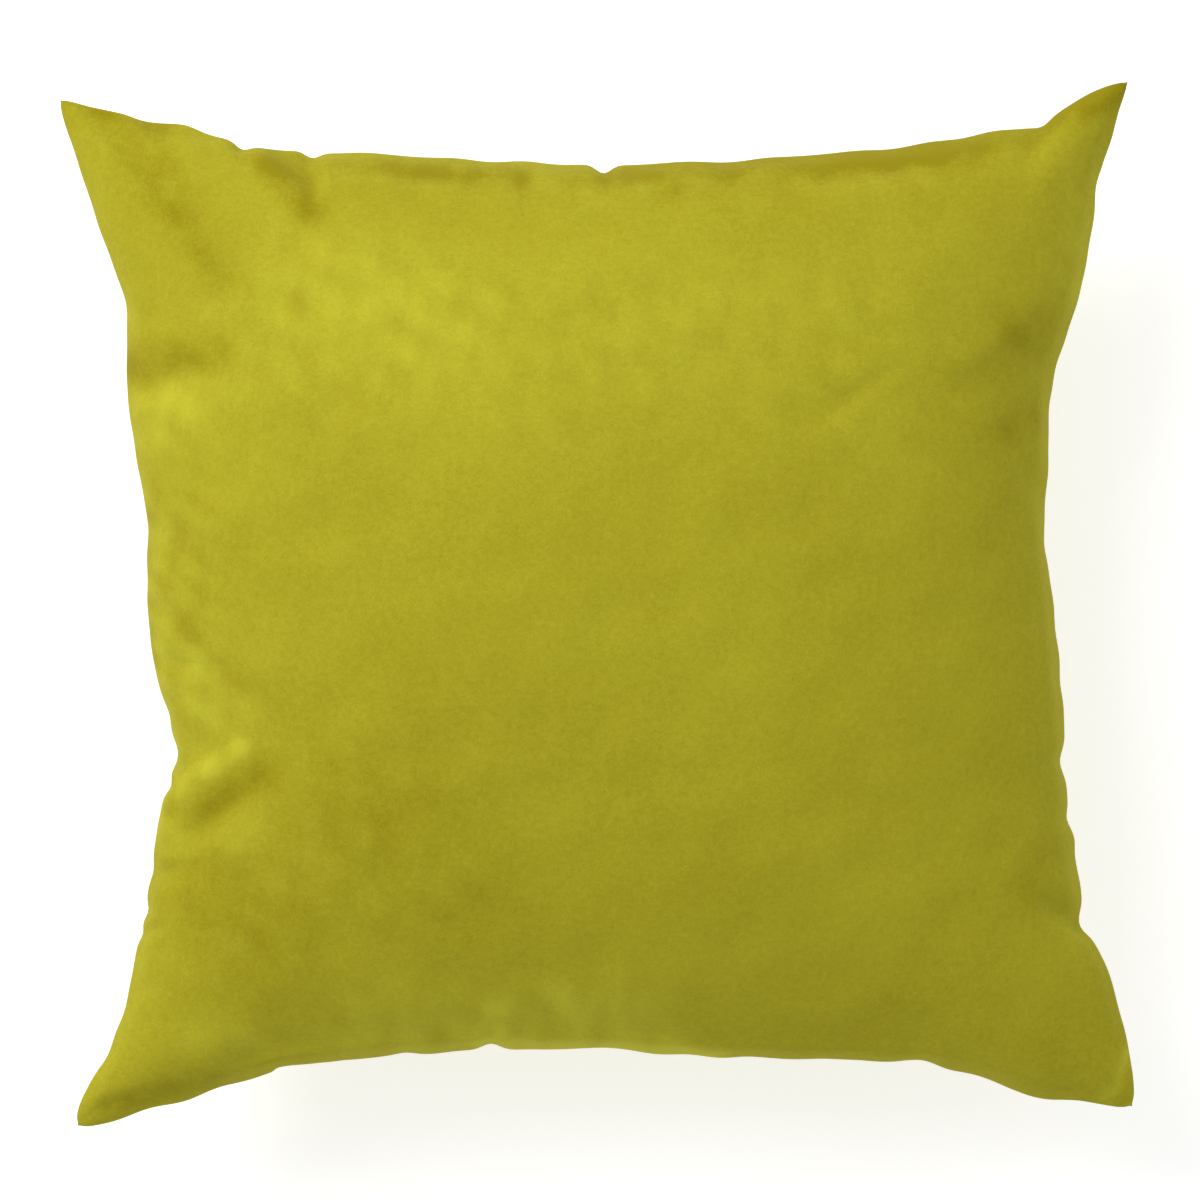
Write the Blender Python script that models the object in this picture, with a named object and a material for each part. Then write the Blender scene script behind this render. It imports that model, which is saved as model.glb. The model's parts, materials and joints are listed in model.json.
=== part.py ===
"""Square throw pillow: a short-pile velvet cover with a concealed zip, over a filled pad.

It lies on its back panel. +Z is the front panel's side, +Y its top edge, and the zip is in the -Y edge.
Every layer is a closed solid of its own, nested inside the one before it with a small gap.
"""

import math

import bmesh
import bpy

# Overall sizes, in metres
HALF_WIDTH = 0.2185  # from the middle to a corner, along X
HALF_HEIGHT = 0.2131  # from the middle to a corner, along Y
LOFT = 0.076  # from the seam to the middle of each panel
FLATTENED = 0.004  # how far the back panel's middle is pressed in where it rests
SIDE_DRAW = 0.0345  # how far the middle of a side is drawn in by the filling
ZIP_DRAW = 0.0310  # the same for the straight bottom edge
CORNER_NIP = 0.003  # how blunt a corner is
TL_DROP = 0.0076  # the top left corner sits lower than the top right one
BR_RISE = 0.0092  # the bottom right corner sits higher than the bottom left one
BL_SHIFT = 0.0073  # the bottom left corner sits further in than the top left one

# Cover
CLOTH = 0.0012
ALLOWANCE = 0.011  # the turned-in seam allowance
SEAM_GAP = 0.00055  # half the gap that the seam thread lies in
ZIP_ROLL = 0.004  # how far the front panel rolls out over the zip
SLIT = 0.0007  # half the slit that the slider's neck runs in

# Pad
PAD_INSET = 0.0155  # from the cover's outline to the pad's
PAD_CLOTH = 0.0005
PAD_ALLOWANCE = 0.008
PAD_GAP = 0.0014  # between the cover's inside and the pad at the middle
FILL_GAP = 0.0021  # between the pad's inside and the filling at the middle

# Zip, as (distance in from the front panel's edge, height from the seam)
SLIDER_LENGTH = 0.010
NECK = 0.0008
TAB_LENGTH = 0.020
TAB_WIDTH = 0.005
PIN_IN = 0.0020  # the pull tab's pivot, in from the edge
PIN_RADIUS = 0.00045
EYE_RADIUS = 0.00075

COVER_STEPS = 18
PAD_STEPS = 12
ZIP_SHARE = 0.65  # the part of the bottom edge, from its middle, that is straight
PAD_SHARE = 0.75  # the same for the pad, so that it stays clear of the zip

SEAM_Z = LOFT - FLATTENED
ZIP_Y = -HALF_HEIGHT + ZIP_DRAW

for old in list(bpy.data.objects):
    bpy.data.objects.remove(old)


def material(name, colour, rough, metallic=0.0):
    mat = bpy.data.materials.new(name)
    mat.use_nodes = True
    shader = mat.node_tree.nodes["Principled BSDF"]
    shader.inputs["Base Color"].default_value = (*colour, 1)
    shader.inputs["Roughness"].default_value = rough
    shader.inputs["Metallic"].default_value = metallic
    return mat


VELVET = (0.385, 0.335, 0.024)
THREAD = (0.36, 0.31, 0.03)
TAPE = (0.32, 0.28, 0.03)
LINING = (0.82, 0.82, 0.80)
FIBRE = (0.90, 0.90, 0.89)


# The outline: four corners joined by drawn-in sides
def corners(inset):
    a = HALF_WIDTH - inset
    b = HALF_HEIGHT - inset
    return {
        "bl": (-a + BL_SHIFT, -b),
        "br": (a, -b + BR_RISE),
        "tr": (a, b),
        "tl": (-a, b - TL_DROP),
    }


def side_point(side, t, inset, roll=0.0):
    """A point on a side, with t from -1 to 1 along +X or +Y."""
    at = corners(inset)
    first, last = {"bottom": ("bl", "br"), "top": ("tl", "tr"), "left": ("bl", "tl"), "right": ("br", "tr")}[side]
    s = (1 + t) / 2
    x = at[first][0] * (1 - s) + at[last][0] * s
    y = at[first][1] * (1 - s) + at[last][1] * s
    reach = min(s, 1 - s) * 2 * HALF_WIDTH
    nip = CORNER_NIP * math.exp(-reach / 0.005)
    if side == "bottom":
        level = ZIP_Y + inset - y - nip
        flat = ZIP_SHARE if inset < PAD_INSET else PAD_SHARE
        share = min(1, (1 - abs(t)) / (1 - flat)) ** 1.5
        depth = level * share + nip
        return x, y + depth + (roll if abs(t) <= ZIP_SHARE else 0)
    depth = SIDE_DRAW * 4 * s * (1 - s) + nip
    if side == "top":
        return x, y - depth
    if side == "left":
        return x + depth, y
    return x - depth, y


def patch_point(u, v, inset, roll=0.0):
    """A point of the sheet stretched between the four sides."""
    s, t = (1 + u) / 2, (1 + v) / 2
    low, high = side_point("bottom", u, inset, roll), side_point("top", u, inset)
    left, right = side_point("left", v, inset), side_point("right", v, inset)
    bl, br = side_point("bottom", -1, inset), side_point("bottom", 1, inset)
    tl, tr = side_point("top", -1, inset), side_point("top", 1, inset)
    nip = CORNER_NIP
    bl, tl = (bl[0] + nip, bl[1]), (tl[0] + nip, tl[1])
    br, tr = (br[0] - nip, br[1]), (tr[0] - nip, tr[1])
    low = (low[0] + nip * ((1 - s) - s), low[1])
    high = (high[0] + nip * ((1 - s) - s), high[1])
    left = (left[0], left[1] + nip * ((1 - t) - t))
    right = (right[0], right[1] + nip * ((1 - t) - t))
    point = []
    for k in (0, 1):
        ruled = low[k] * (1 - t) + high[k] * t + left[k] * (1 - s) + right[k] * s
        flat = (bl[k] * (1 - s) + br[k] * s) * (1 - t) + (tl[k] * (1 - s) + tr[k] * s) * t
        point.append(ruled - flat)
    return tuple(point)


def stops(steps):
    return [math.sin(math.pi / 2 * (2 * k / steps - 1)) for k in range(steps + 1)]


def border(steps):
    """The grid's border cells, once round."""
    n = steps
    ring = [(k, 0) for k in range(n)] + [(n, k) for k in range(n)]
    return ring + [(n - k, n) for k in range(n)] + [(0, n - k) for k in range(n)]


def add_object(name, points, faces, mat, smooth=True):
    mesh = bpy.data.meshes.new(name)
    mesh.from_pydata(points, [], faces)
    shape = bmesh.new()
    shape.from_mesh(mesh)
    bmesh.ops.recalc_face_normals(shape, faces=shape.faces[:])
    if shape.calc_volume(signed=True) < 0:
        bmesh.ops.reverse_faces(shape, faces=shape.faces[:])
    shape.to_mesh(mesh)
    shape.free()
    mesh.materials.append(mat)
    mesh.polygons.foreach_set("use_smooth", [smooth] * len(mesh.polygons))
    obj = bpy.data.objects.new(name, mesh)
    bpy.context.collection.objects.link(obj)
    return obj


def dome(u, v, loft, lift, limit):
    """Height of a filled panel above its seam."""
    full = math.sqrt(max(0, (1 - u * u) * (1 - v * v)))
    return min(math.hypot((loft - 0.001) * full, lift) + 0.001, limit), full


def shell(name, side, steps, inset, loft, limit, wall, lift, rings, zip_rings, mat):
    """A panel with its edge turned in: the outside, the rings of the turned edge, then the inside."""
    at = stops(steps)
    points, faces = [], []
    index = {}
    zone = {(k, 0) for k in range(steps + 1) if abs(at[k]) <= ZIP_SHARE} if zip_rings else set()

    def add(key, x, y, z):
        index[key] = len(points)
        points.append((x, y, SEAM_Z + side * z))

    def add_ring(r):
        w, z = rings[r]
        for i, j in border(steps):
            x, y = patch_point(at[i], at[j], inset + w)
            if (i, j) in zone:
                zw, zz = zip_rings[r]
                x = patch_point(at[i], at[j], inset)[0]
                add((r, i, j), x, ZIP_Y + inset + zw, zz)
            else:
                add((r, i, j), x, y, z)

    last = len(rings) - 1
    roll = zip_rings[0][0] if zip_rings else 0
    for r in range(len(rings)):
        add_ring(r)
    for i in range(1, steps):
        for j in range(1, steps):
            z, full = dome(at[i], at[j], loft, lift, limit)
            x, y = patch_point(at[i], at[j], inset, roll)
            add(("out", i, j), x, y, z)
            x, y = patch_point(at[i], at[j], inset + wall, roll)
            add(("in", i, j), x, y, z - wall * (0.4 + 0.6 * full))
    edge = set(border(steps))
    for layer, ring in (("out", 0), ("in", last)):
        for i in range(steps):
            for j in range(steps):
                cell = [(i, j), (i + 1, j), (i + 1, j + 1), (i, j + 1)]
                a, b, c, d = [index[(ring, *c)] if c in edge else index[(layer, *c)] for c in cell]
                split = (2 * i < steps) == (2 * j < steps)
                for face in ([a, b, c], [a, c, d]) if split else ([a, b, d], [b, c, d]):
                    faces.append(face if layer == "out" else face[::-1])
    loop = border(steps)
    for r in range(last):
        for a, b in zip(loop, loop[1:] + loop[:1]):
            faces.append([index[(r, *b)], index[(r, *a)], index[(r + 1, *a)], index[(r + 1, *b)]])
    return add_object(name, points, faces, mat)


def tube(name, path, radius, mat, closed=False, around=6):
    """A thread along a level path of (x, y) points at the seam's height."""
    points, faces = [], []
    count = len(path)
    for k, (x, y) in enumerate(path):
        before = path[k - 1] if closed or k else path[k]
        after = path[(k + 1) % count] if closed or k < count - 1 else path[k]
        length = math.hypot(after[0] - before[0], after[1] - before[1])
        across = (-(after[1] - before[1]) / length, (after[0] - before[0]) / length)
        for m in range(around):
            turn = 2 * math.pi * (m + 0.5) / around
            out = radius * math.cos(turn)
            points.append((x + across[0] * out, y + across[1] * out, SEAM_Z + radius * math.sin(turn)))
    for k in range(count if closed else count - 1):
        here, there = k * around, (k + 1) % count * around
        for m in range(around):
            n = (m + 1) % around
            faces.append([here + m, here + n, there + n, there + m])
    if not closed:
        faces.append(list(range(around))[::-1])
        faces.append([(count - 1) * around + m for m in range(around)])
    return add_object(name, points, faces, mat)


def sweep_side(name, side, section, at, mat):
    """A strip that follows one side, with its section given as (in from the edge, height)."""
    points, faces = [], []
    for t in at:
        for w, z in section:
            x, y = side_point(side, t, w)
            points.append((x, y, SEAM_Z + z))
    m = len(section)
    for k in range(len(at) - 1):
        for a in range(m):
            b = (a + 1) % m
            faces.append([k * m + a, k * m + b, (k + 1) * m + b, (k + 1) * m + a])
    faces.append(list(range(m))[::-1])
    faces.append([(len(at) - 1) * m + a for a in range(m)])
    return add_object(name, points, faces, mat, smooth=False)


def straight(name, section, low, high, mat):
    """A strip along the zip, with its section given as (in from the front's edge, height)."""
    m = len(section)
    points = [(x, ZIP_Y + w, SEAM_Z + z) for x in (low, high) for w, z in section]
    faces = [[a, (a + 1) % m, m + (a + 1) % m, m + a] for a in range(m)]
    faces += [list(range(m))[::-1], list(range(m, 2 * m))]
    return add_object(name, points, faces, mat, smooth=False)


def box(name, x, w, z, mat=None):
    section = [(w[0], z[0]), (w[1], z[0]), (w[1], z[1]), (w[0], z[1])]
    return straight(name, section, x[0], x[1], mat)


def rod(name, x, w, z, radius, mat=None, around=16):
    turns = [2 * math.pi * k / around for k in range(around)]
    section = [(w + radius * math.cos(a), z + radius * math.sin(a)) for a in turns]
    return straight(name, section, x[0], x[1], mat)


def combine(base, other, operation):
    """Joins a helper to a piece, or cuts it away."""
    other.hide_render = True
    other.display_type = "WIRE"
    step = base.modifiers.new(operation, "BOOLEAN")
    step.operation = operation
    step.solver = "EXACT"
    step.object = other


# Cover panels. The edge turns in as a flat allowance; along the zip it opens into two leaning flaps.
velvet = material("velvet", VELVET, 0.9)
gap, top = SEAM_GAP, SEAM_GAP + 0.001
flat_rings = [(0, 0.001), (0.0005, gap), (0.0028, gap), (ALLOWANCE, gap), (ALLOWANCE, top), (0.0028, top)]
flat_rings += [(CLOTH + 0.0003, 0.0019)]
flap_end = ZIP_ROLL + 0.0079
front_zip = [(0, 0.0052), (ZIP_ROLL - 0.0002, 0.0015), (ZIP_ROLL + 0.0026, SLIT), (flap_end, 0.0099)]
front_zip += [(flap_end - 0.0009, 0.0104), (ZIP_ROLL + 0.0017, 0.0023), (0.0017, 0.0059)]
back_zip = [(ZIP_ROLL + 0.0002, 0.0013), (ZIP_ROLL + 0.0008, SLIT), (ZIP_ROLL + 0.0026, SLIT), (flap_end, 0.0099)]
back_zip += [(flap_end - 0.0009, 0.0104), (ZIP_ROLL + 0.0019, 0.0019), (ZIP_ROLL + 0.0014, 0.0024)]
cover = (COVER_STEPS, 0.0, LOFT)
shell("front_panel", 1, *cover, LOFT, CLOTH, 0.0024, flat_rings, front_zip, velvet)
shell("back_panel", -1, *cover, LOFT - FLATTENED, CLOTH, 0.0024, flat_rings, back_zip, velvet)

# Seam threads and overlock, one run to each side
thread = material("sewing_thread", THREAD, 0.6)
cover_at = stops(COVER_STEPS)
for side in ("top", "left", "right"):
    run = cover_at[1:-1]
    tube("seam_thread_" + side, [side_point(side, t, 0.0020) for t in run], 0.0003, thread)
    c = [(0.008, -0.0023), (0.0125, -0.0023), (0.0125, 0.0023), (0.008, 0.0023)]
    c += [(0.008, 0.0019), (0.0114, 0.0019), (0.0114, -0.0019), (0.008, -0.0019)]
    sweep_side("overlock_" + side, side, c, cover_at[2:-2], thread)
for name, run in (("left", cover_at[1:-1]), ("right", cover_at[1:-1])):
    sign = -1 if name == "left" else 1
    run = [t for t in run if sign * t > ZIP_SHARE]
    tube("seam_thread_bottom_" + name, [side_point("bottom", t, 0.0020) for t in run], 0.0003, thread)

# Concealed zip: tapes sewn to the flaps, with a coil on each
tape = material("zip_tape", TAPE, 0.8)
nylon = material("zip_coil", TAPE, 0.4)
metal = material("zip_metal", (0.62, 0.60, 0.56), 0.3, 1.0)
zone_end = min(patch_point(t, -1, 0)[0] for t in cover_at if 0.5 < t <= ZIP_SHARE)
zone_end = min(zone_end, -patch_point(-max(t for t in cover_at if t <= ZIP_SHARE), -1, 0)[0])
TAPE_HALF = zone_end - 0.0025
COIL_HALF = TAPE_HALF - 0.006


def leaning(n, t):
    """A place on the leaning flap: n through it, t along it from the slit."""
    return ZIP_ROLL + n * 0.866 + t * 0.5, -n * 0.5 + t * 0.866


def mirrored(section, side):
    return [(w, side * z) for w, z in section]


for name, side in (("front", 1), ("back", -1)):
    strip = [leaning(0.0025, 0.0026), leaning(0.0029, 0.0026), leaning(0.0029, 0.0123), leaning(0.0025, 0.0123)]
    straight("zip_tape_" + name, mirrored(strip, side), -TAPE_HALF, TAPE_HALF, tape)
    c = [leaning(0.0002, 0.0088), leaning(0.0002, 0.0133), leaning(0.0036, 0.0133), leaning(0.0036, 0.0088)]
    c += [leaning(0.0032, 0.0088), leaning(0.0032, 0.0129), leaning(0.0005, 0.0129), leaning(0.0005, 0.0088)]
    straight("overlock_zip_" + name, mirrored(c, side), -TAPE_HALF, TAPE_HALF, thread)
    w, z = leaning(0.0022, 0.0050)
    rod("zip_thread_" + name, (-TAPE_HALF, TAPE_HALF), w, side * z, 0.0002, thread, 6)
    low, high = sorted((side * (SLIT + 0.00005), side * 0.0025))
    mid = (low + high) / 2
    coil = [(ZIP_ROLL + 0.0052, low), (ZIP_ROLL + 0.0068, low), (ZIP_ROLL + 0.0071, mid)]
    coil += [(ZIP_ROLL + 0.0068, high), (ZIP_ROLL + 0.0052, high)]
    straight("zip_coil_" + name, coil, -COIL_HALF, COIL_HALF, nylon)
    box("zip_top_stop_" + name, (-TAPE_HALF, -COIL_HALF - 0.0003), (ZIP_ROLL + 0.0052, ZIP_ROLL + 0.0072), (low, high), metal)
box("zip_bottom_stop", (COIL_HALF + 0.0003, TAPE_HALF), (ZIP_ROLL + 0.0052, ZIP_ROLL + 0.0072), (-0.0025, 0.0025), metal)

# Slider: a plate behind the coils with two flanges, and a neck out through the slit to a pin
x0 = -COIL_HALF + SLIDER_LENGTH / 2 + 0.002
span = (x0 - SLIDER_LENGTH / 2, x0 + SLIDER_LENGTH / 2)
plate = ZIP_ROLL + 0.0074
slider = box("zip_slider", span, (plate, plate + 0.001), (-0.0039, 0.0039), metal)
for low, high in ((0.0029, 0.0039), (-0.0039, -0.0029)):
    combine(slider, box("flange", span, (ZIP_ROLL + 0.0060, plate + 0.0003), (low, high)), "UNION")
combine(slider, box("neck", (x0 - 0.001, x0 + 0.001), (PIN_IN - 0.0002, plate + 0.0003), (-NECK / 2, NECK / 2)), "UNION")
combine(slider, rod("pin", (x0 - 0.0029, x0 + 0.0029), PIN_IN, 0, PIN_RADIUS), "UNION")

# Pull tab: two eyes on the pin and a plate that hangs from them
half = TAB_WIDTH / 2
tab = box("zip_pull_tab", (x0 - half, x0 + half), (PIN_IN - 0.0004, PIN_IN + 0.0004), (-TAB_LENGTH, -0.0020), metal)
for low, high in ((x0 - half, x0 - 0.0013), (x0 + 0.0013, x0 + half)):
    leg = (PIN_IN - 0.00035, PIN_IN + 0.00035)
    combine(tab, box("leg", (low, high), leg, (-0.0023, -0.0009)), "UNION")
    combine(tab, rod("eye", (low, high), PIN_IN, 0, 0.0014), "UNION")
combine(tab, rod("pin_hole", (x0 - 0.004, x0 + 0.004), PIN_IN, 0, EYE_RADIUS), "DIFFERENCE")

# The pad inside: a plain white case and its filling
lining = material("pad_case", LINING, 0.85)
pad_loft = LOFT - CLOTH - PAD_GAP
pad_rings = [(0, 0.0009), (0.0004, 0.00045), (PAD_ALLOWANCE, 0.00045), (PAD_ALLOWANCE, 0.00095)]
pad_rings += [(0.0016, 0.00095), (0.0012, 0.0012)]
pad = (PAD_STEPS, PAD_INSET, pad_loft)
shell("pad_front", 1, *pad, pad_loft, PAD_CLOTH, 0.0015, pad_rings, None, lining)
shell("pad_back", -1, *pad, pad_loft - FLATTENED, PAD_CLOTH, 0.0015, pad_rings, None, lining)
pad_at = stops(PAD_STEPS)
pad_path = [patch_point(pad_at[i], pad_at[j], PAD_INSET + 0.0030) for i, j in border(PAD_STEPS)]
tube("pad_seam_thread", pad_path, 0.0002, material("pad_thread", LINING, 0.6), closed=True)

fill_loft = pad_loft - PAD_CLOTH - FILL_GAP
fill_inset = PAD_INSET + PAD_ALLOWANCE + 0.0015
points, faces = [], []
index = {}
for layer, limit in ((1, fill_loft), (-1, fill_loft - FLATTENED)):
    for i, u in enumerate(pad_at):
        for j, v in enumerate(pad_at):
            on_edge = i in (0, PAD_STEPS) or j in (0, PAD_STEPS)
            if on_edge and layer < 0:
                index[(layer, i, j)] = index[(1, i, j)]
                continue
            full = math.sqrt(max(0, (1 - u * u) * (1 - v * v)))
            index[(layer, i, j)] = len(points)
            points.append((*patch_point(u, v, fill_inset), SEAM_Z + layer * min(fill_loft * full, limit)))
for layer in (1, -1):
    for i in range(PAD_STEPS):
        for j in range(PAD_STEPS):
            cell = [(i, j), (i + 1, j), (i + 1, j + 1), (i, j + 1)]
            faces.append([index[(layer, *c)] for c in (cell if layer > 0 else cell[::-1])])
add_object("fibre_filling", points, faces, material("fibre", FIBRE, 0.95))
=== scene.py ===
"""Looks of the square velvet throw pillow, lying on its back panel on a pale floor."""

import json
import math

import bmesh
import bpy
import numpy as np
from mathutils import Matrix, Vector

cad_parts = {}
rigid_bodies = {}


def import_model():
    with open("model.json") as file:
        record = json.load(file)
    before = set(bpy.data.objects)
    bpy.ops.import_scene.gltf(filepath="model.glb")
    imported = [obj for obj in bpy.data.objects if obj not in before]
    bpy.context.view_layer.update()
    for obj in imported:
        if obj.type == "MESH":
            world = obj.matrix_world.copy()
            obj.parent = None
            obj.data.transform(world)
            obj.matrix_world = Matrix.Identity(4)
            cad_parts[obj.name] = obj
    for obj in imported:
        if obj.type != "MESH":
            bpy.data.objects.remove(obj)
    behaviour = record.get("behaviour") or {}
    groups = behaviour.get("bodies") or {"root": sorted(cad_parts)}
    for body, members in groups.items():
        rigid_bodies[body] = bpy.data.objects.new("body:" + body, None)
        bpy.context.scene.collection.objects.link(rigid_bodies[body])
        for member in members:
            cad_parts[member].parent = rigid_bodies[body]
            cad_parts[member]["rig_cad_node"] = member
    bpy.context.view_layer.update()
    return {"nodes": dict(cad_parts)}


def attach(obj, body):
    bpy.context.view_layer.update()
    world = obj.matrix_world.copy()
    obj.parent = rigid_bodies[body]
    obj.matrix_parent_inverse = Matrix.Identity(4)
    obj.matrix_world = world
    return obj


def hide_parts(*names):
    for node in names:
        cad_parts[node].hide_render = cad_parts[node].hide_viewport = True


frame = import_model()


# Cover: two 450 mm squares of short-pile velvet, sewn face to face and turned out.
# The filling draws the sides in between the corners, and the sewn edge puckers where it is taken up.
# Every size below is in mm. The seam's middle is the origin across the floor.
MM = 0.001
SEAM_Z = 72.0  # the height of the seam above the floor
FLAT = 450.0  # the side of each square as cut
CLOTH_STEPS = 72
BULGE = 0.8  # the filled panels stand this far outside the sewn line
CORNERS = {"tl": (-215.9, 203.0), "tr": (214.5, 210.6), "br": (216.8, -203.0), "bl": (-209.2, -210.6)}
# For each side: its ends, and how far in mm it is drawn in at shares of its length
SIDES = {
    "top": (
        "tl", "tr",
        ((0, 0), (0.04, 3.4), (0.10, 10.6), (0.14, 15.4), (0.20, 21.2), (0.27, 22.9), (0.40, 27.2),
         (0.50, 29.9), (0.60, 29.2), (0.70, 27.2), (0.80, 23.9), (0.86, 20.0), (0.915, 16.9),
         (0.96, 4.8), (0.98, 1.0), (1, 0)),
    ),
    "right": (
        "tr", "br",
        ((0, 0), (0.04, 4.4), (0.09, 11.2), (0.13, 13.8), (0.20, 19.1), (0.24, 24.0), (0.28, 30.4),
         (0.32, 32.4), (0.36, 32.8), (0.42, 35.0), (0.50, 31.8), (0.56, 28.9), (0.62, 27.2),
         (0.70, 26.0), (0.76, 22.6), (0.79, 20.5), (0.82, 19.4), (0.86, 10.4), (0.90, 5.8),
         (0.94, 1.8), (0.97, 0.0), (1, 0)),
    ),
    "bottom": (
        "bl", "br",
        ((0, 0), (0.02, 0.2), (0.06, 4.8), (0.12, 12.0), (0.145, 14.8), (0.17, 19.2), (0.20, 22.1),
         (0.28, 26.0), (0.36, 27.9), (0.42, 28.1), (0.50, 28.2), (0.56, 25.3), (0.62, 23.1),
         (0.70, 21.8), (0.80, 19.6), (0.84, 15.6), (0.88, 8.6), (0.91, 4.4), (0.94, 3.2),
         (0.97, 1.4), (1, 0)),
    ),
    "left": (
        "bl", "tl",
        ((0, 0), (0.02, 0.2), (0.06, 9.2), (0.10, 17.3), (0.14, 22.0), (0.18, 25.6), (0.22, 29.0),
         (0.28, 33.0), (0.32, 36.4), (0.36, 41.6), (0.40, 39.2), (0.44, 34.8), (0.50, 31.4),
         (0.58, 31.8), (0.64, 28.8), (0.71, 24.6), (0.78, 25.4), (0.82, 22.4), (0.87, 14.8),
         (0.92, 9.0), (0.96, 4.0), (0.98, 1.2), (1, 0)),
    ),
}


def smooth_curve(points, at):
    """A curve through the points, rounded where it turns."""
    x, y = np.array(points).T
    fine = np.linspace(0, 1, 501)
    rough = np.interp(fine, x, y)
    bell = np.exp(-0.5 * (np.arange(-15, 16) / 4.0) ** 2)
    padded = np.concatenate([-rough[1:16][::-1], rough, -rough[-16:-1][::-1]])
    return np.interp(at, fine, np.convolve(padded, bell / bell.sum(), "same")[15:-15])


def side_curve(name, count):
    """Points along one side at even steps of the sewn edge, in mm."""
    first, last, draw = SIDES[name]
    a, b = np.array(CORNERS[first]), np.array(CORNERS[last])
    along = (b - a) / np.hypot(*(b - a))
    inward = np.array([along[1], -along[0]]) * (-1 if name == "bottom" else 1)
    s = np.linspace(0, 1, 801)
    drawn_in = smooth_curve(draw, s) + BULGE * (s * (1 - s) * 40).clip(0, 1)
    line = a + np.outer(s, b - a) + np.outer(drawn_in, inward)
    run = np.concatenate([[0], np.cumsum(np.hypot(*np.diff(line, axis=0).T))])
    even = np.linspace(0, run[-1], count + 1)
    return np.stack([np.interp(even, run, line[:, k]) for k in (0, 1)], 1)


def patch(low, high, left, right):
    """The sheet stretched between four sides, as a grid of (x, y)."""
    n, m = len(low), len(left)
    s, t = np.linspace(0, 1, n)[:, None, None], np.linspace(0, 1, m)[None, :, None]
    ruled = low[:, None] * (1 - t) + high[:, None] * t + left[None] * (1 - s) + right[None] * s
    flat = (low[0] * (1 - s) + low[-1] * s) * (1 - t) + (high[0] * (1 - s) + high[-1] * s) * t
    return ruled - flat


def object_from(name, points, faces, smooth=True):
    """A mesh object from points in mm."""
    mesh = bpy.data.meshes.new(name)
    mesh.from_pydata((np.asarray(points) * MM).tolist(), [], faces)
    mesh.polygons.foreach_set("use_smooth", [smooth] * len(mesh.polygons))
    mesh.update()
    obj = bpy.data.objects.new(name, mesh)
    bpy.context.scene.collection.objects.link(obj)
    return obj


FIRST_RISE = 74.0  # how high each panel starts, before the filling pushes it out
CLOTH_FRAMES = 30


def cells_of(ids, turned):
    """The quads between a grid of point numbers, turned round where they face down."""
    cells = np.stack([ids[:-1, :-1], ids[1:, :-1], ids[1:, 1:], ids[:-1, 1:]], -1).reshape(-1, 4)
    return (cells[:, ::-1] if turned else cells).tolist()


def filled_cover():
    """The two panels, pinned along the sewn edge and blown up as the filling does.

    Returns a grid of points for each.
    """
    n = CLOTH_STEPS
    left, right = side_curve("left", n), side_curve("right", n)[::-1]
    outline = patch(side_curve("bottom", n), side_curve("top", n), left, right)
    u = np.linspace(-1, 1, n + 1)
    rise = FIRST_RISE * np.sqrt(np.outer(1 - u**2, 1 - u**2).clip(0))
    grids = [np.dstack([outline, rise]), np.dstack([outline, -rise])]
    number = np.arange((n + 1) ** 2).reshape(n + 1, n + 1)
    edge = np.ones((n + 1, n + 1), bool)
    edge[1:-1, 1:-1] = False
    under = number.copy()
    under[~edge] = (n + 1) ** 2 + np.arange((~edge).sum())
    points = np.concatenate([grids[0].reshape(-1, 3), grids[1][~edge]])
    x, y = np.meshgrid(u * FLAT / 2, u * FLAT / 2, indexing="ij")
    flat = np.dstack([x, y, np.full_like(x, 0.3) * ~edge])
    flat = np.concatenate([flat.reshape(-1, 3), (flat * (1, 1, -1))[~edge]])
    faces = []
    for ids, turned in ((number, False), (under, True)):
        faces += cells_of(ids, turned)
    cloth = object_from("cover_cloth", points, faces)
    cloth.shape_key_add(name="Basis")
    rest = cloth.shape_key_add(name="flat")
    rest.data.foreach_set("co", (flat * MM).ravel())
    pin = cloth.vertex_groups.new(name="pin")
    pin.add(number[edge].tolist(), 1, "REPLACE")
    step = cloth.modifiers.new("Cloth", "CLOTH")
    wear = step.settings
    wear.vertex_group_mass = "pin"
    wear.rest_shape_key = rest
    wear.quality, wear.mass = 6, 0.3
    wear.tension_stiffness = wear.compression_stiffness = 20
    wear.shear_stiffness, wear.bending_stiffness = 6, 0.05
    wear.tension_damping = wear.compression_damping = wear.shear_damping = 25
    wear.use_pressure = True
    wear.uniform_pressure_force = 8
    wear.effector_weights.gravity = 0
    step.collision_settings.use_collision = False
    step.point_cache.frame_start, step.point_cache.frame_end = 1, CLOTH_FRAMES
    for now in range(1, CLOTH_FRAMES + 1):
        bpy.context.scene.frame_set(now)
    settled = cloth.evaluated_get(bpy.context.evaluated_depsgraph_get())
    got = np.empty(len(points) * 3)
    settled.data.vertices.foreach_get("co", got)
    got = got.reshape(-1, 3) / MM
    bpy.data.objects.remove(cloth)
    return [got[number], got[under]]


def resample(grid, at):
    """The grid read at finer, uneven steps, on a smooth cubic through its rows and columns."""
    for axis in (0, 1):
        grid = np.moveaxis(grid, axis, 0)
        n = len(grid) - 1
        place = at * n
        k = np.clip(place.astype(int), 0, n - 1)
        f = (place - k)[:, None, None]
        first, last = 2 * grid[0] - grid[1], 2 * grid[-1] - grid[-2]
        wide = np.concatenate([first[None], grid, last[None]])
        a, b, c, d = (wide[k + m] for m in range(4))
        grid = b + 0.5 * f * (c - a + f * (2 * a - 5 * b + 4 * c - d + f * (3 * (b - c) + d - a)))
        grid = np.moveaxis(grid, 0, axis)
    return grid


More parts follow.
